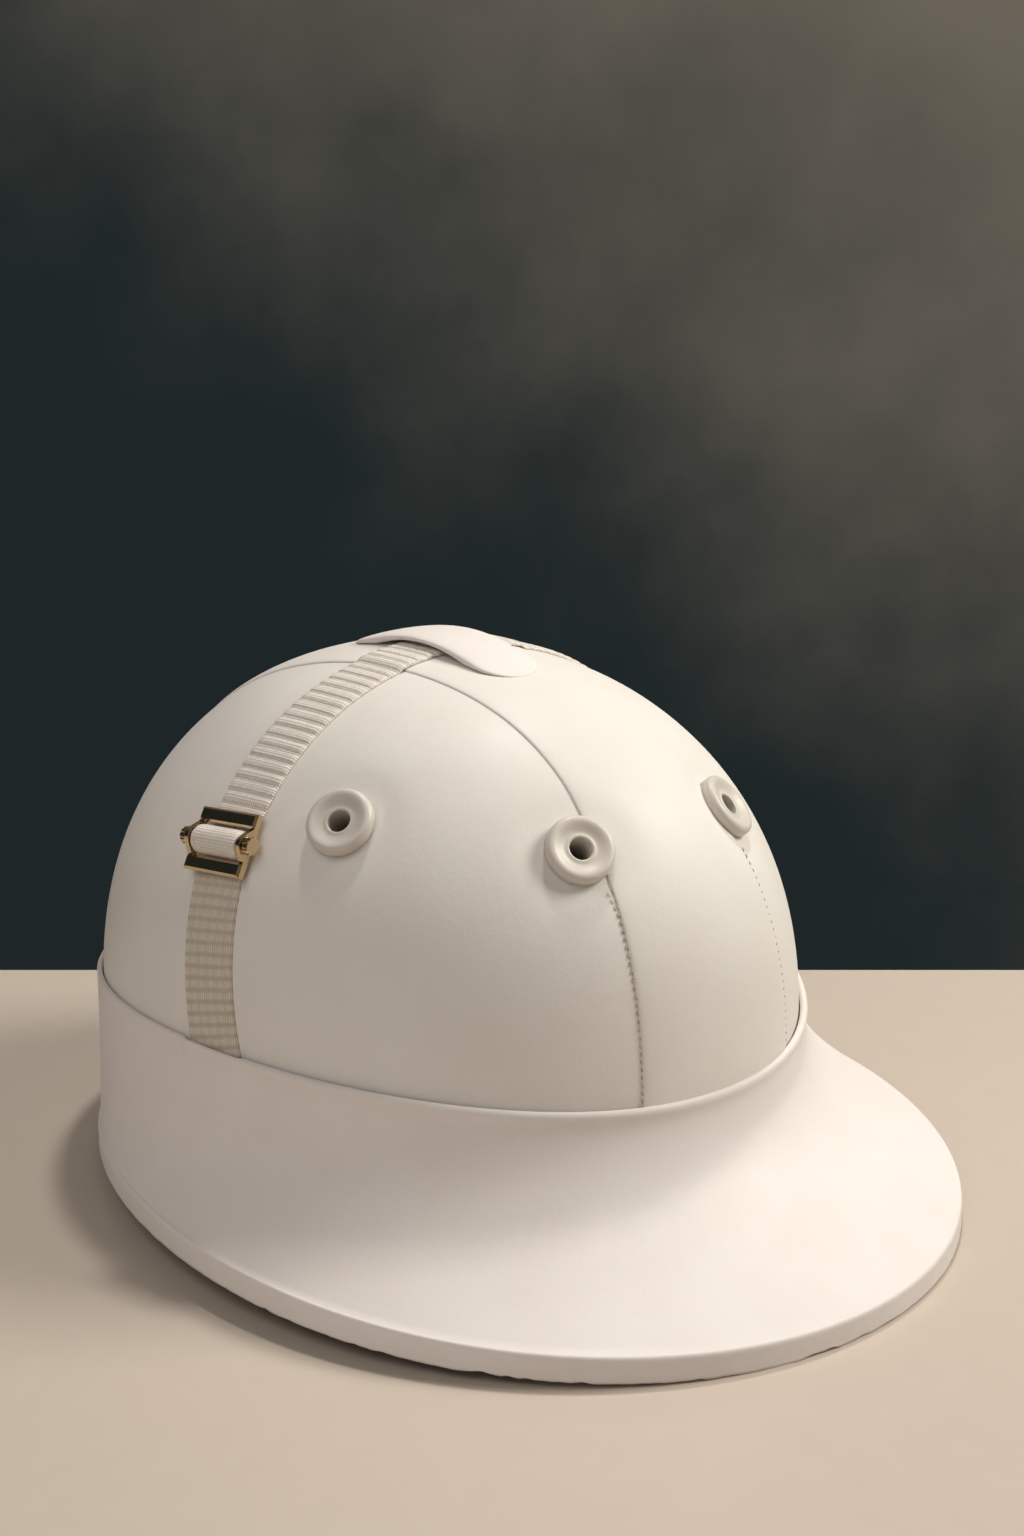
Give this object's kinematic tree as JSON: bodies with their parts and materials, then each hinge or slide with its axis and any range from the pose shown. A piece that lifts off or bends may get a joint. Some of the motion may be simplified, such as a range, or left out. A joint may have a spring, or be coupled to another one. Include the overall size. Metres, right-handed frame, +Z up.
{
  "type": "polo helmet",
  "caption": "Leather-covered polo helmet with a long front brim, vent eyelets, a top loop, a crown strap with a sliding-bar buckle, and a padded inside.",
  "frame": {"origin": "on the table plane, under the middle of the whole helmet's box", "axes": "+Z up, the peak of the brim towards -Y, the wearer's left at +X"},
  "size_m": [0.2602, 0.3119, 0.176],
  "materials": {
    "crown_leather": "smooth cream leather",
    "brim_leather": "smooth cream leather",
    "lining_leather": "matt tan lining leather",
    "fibre_board": "pressed fibre board",
    "shell_laminate": "resin laminate",
    "liner_foam": "moulded bead foam",
    "lining_cloth": "brushed knitted cloth",
    "pad_foam": "soft foam",
    "eyelet_enamel": "satin cream enamel",
    "rivet_metal": "polished",
    "webbing": "ribbed cream webbing",
    "buckle_metal": "polished pale gold plate",
    "chin_webbing": "plain black webbing",
    "clip_plastic": "moulded black"
  },
  "bodies": {
    "helmet": {"cover_band": "crown_leather", "cover_panel_right": "crown_leather", "cover_panel_left": "crown_leather", "brim_cover": "brim_leather", "lip_piping": "brim_leather", "brim_lining": "lining_leather", "brim_core": "fibre_board", "outer_shell": "shell_laminate", "impact_liner": "liner_foam", "crown_pad": "lining_cloth", "size_pad_front": "pad_foam", "size_pad_rear": "pad_foam", "sweatband": "lining_leather", "edge_binding": "lining_leather", "vent_eyelets": "eyelet_enamel", "eyelet_washers": "rivet_metal", "top_loop": "brim_leather", "strap_over": "webbing", "strap_lower": "webbing", "buckle_frame": "buckle_metal", "chin_strap_right": "chin_webbing", "chin_strap_left": "chin_webbing", "chin_rivets": "rivet_metal", "clip_socket": "clip_plastic", "clip_plug": "clip_plastic"},
    "sliding_bar": {"buckle_bar": "buckle_metal", "strap_fold": "webbing"},
    "upper_arm": {"clip_arm_upper": "clip_plastic"},
    "lower_arm": {"clip_arm_lower": "clip_plastic"}
  },
  "joints": [
    {"name": "buckle_bar_slide", "type": "slide", "parent": "helmet", "child": "sliding_bar", "axis": [0.5153, 0.1022, 0.8509], "range_m": [-0.0008, 0.0008]},
    {"name": "clip_upper_press", "type": "hinge", "parent": "helmet", "child": "upper_arm", "pos_m": [0.0083, 0.11626, 0.036], "axis": [0, -1, 0], "range_deg": [0, 11], "stiffness_Nm_per_rad": 0.02},
    {"name": "clip_lower_press", "type": "hinge", "parent": "helmet", "child": "lower_arm", "pos_m": [0.0083, 0.11626, 0.022], "axis": [0, 1, 0], "range_deg": [0, 11], "stiffness_Nm_per_rad": 0.02}
  ]
}
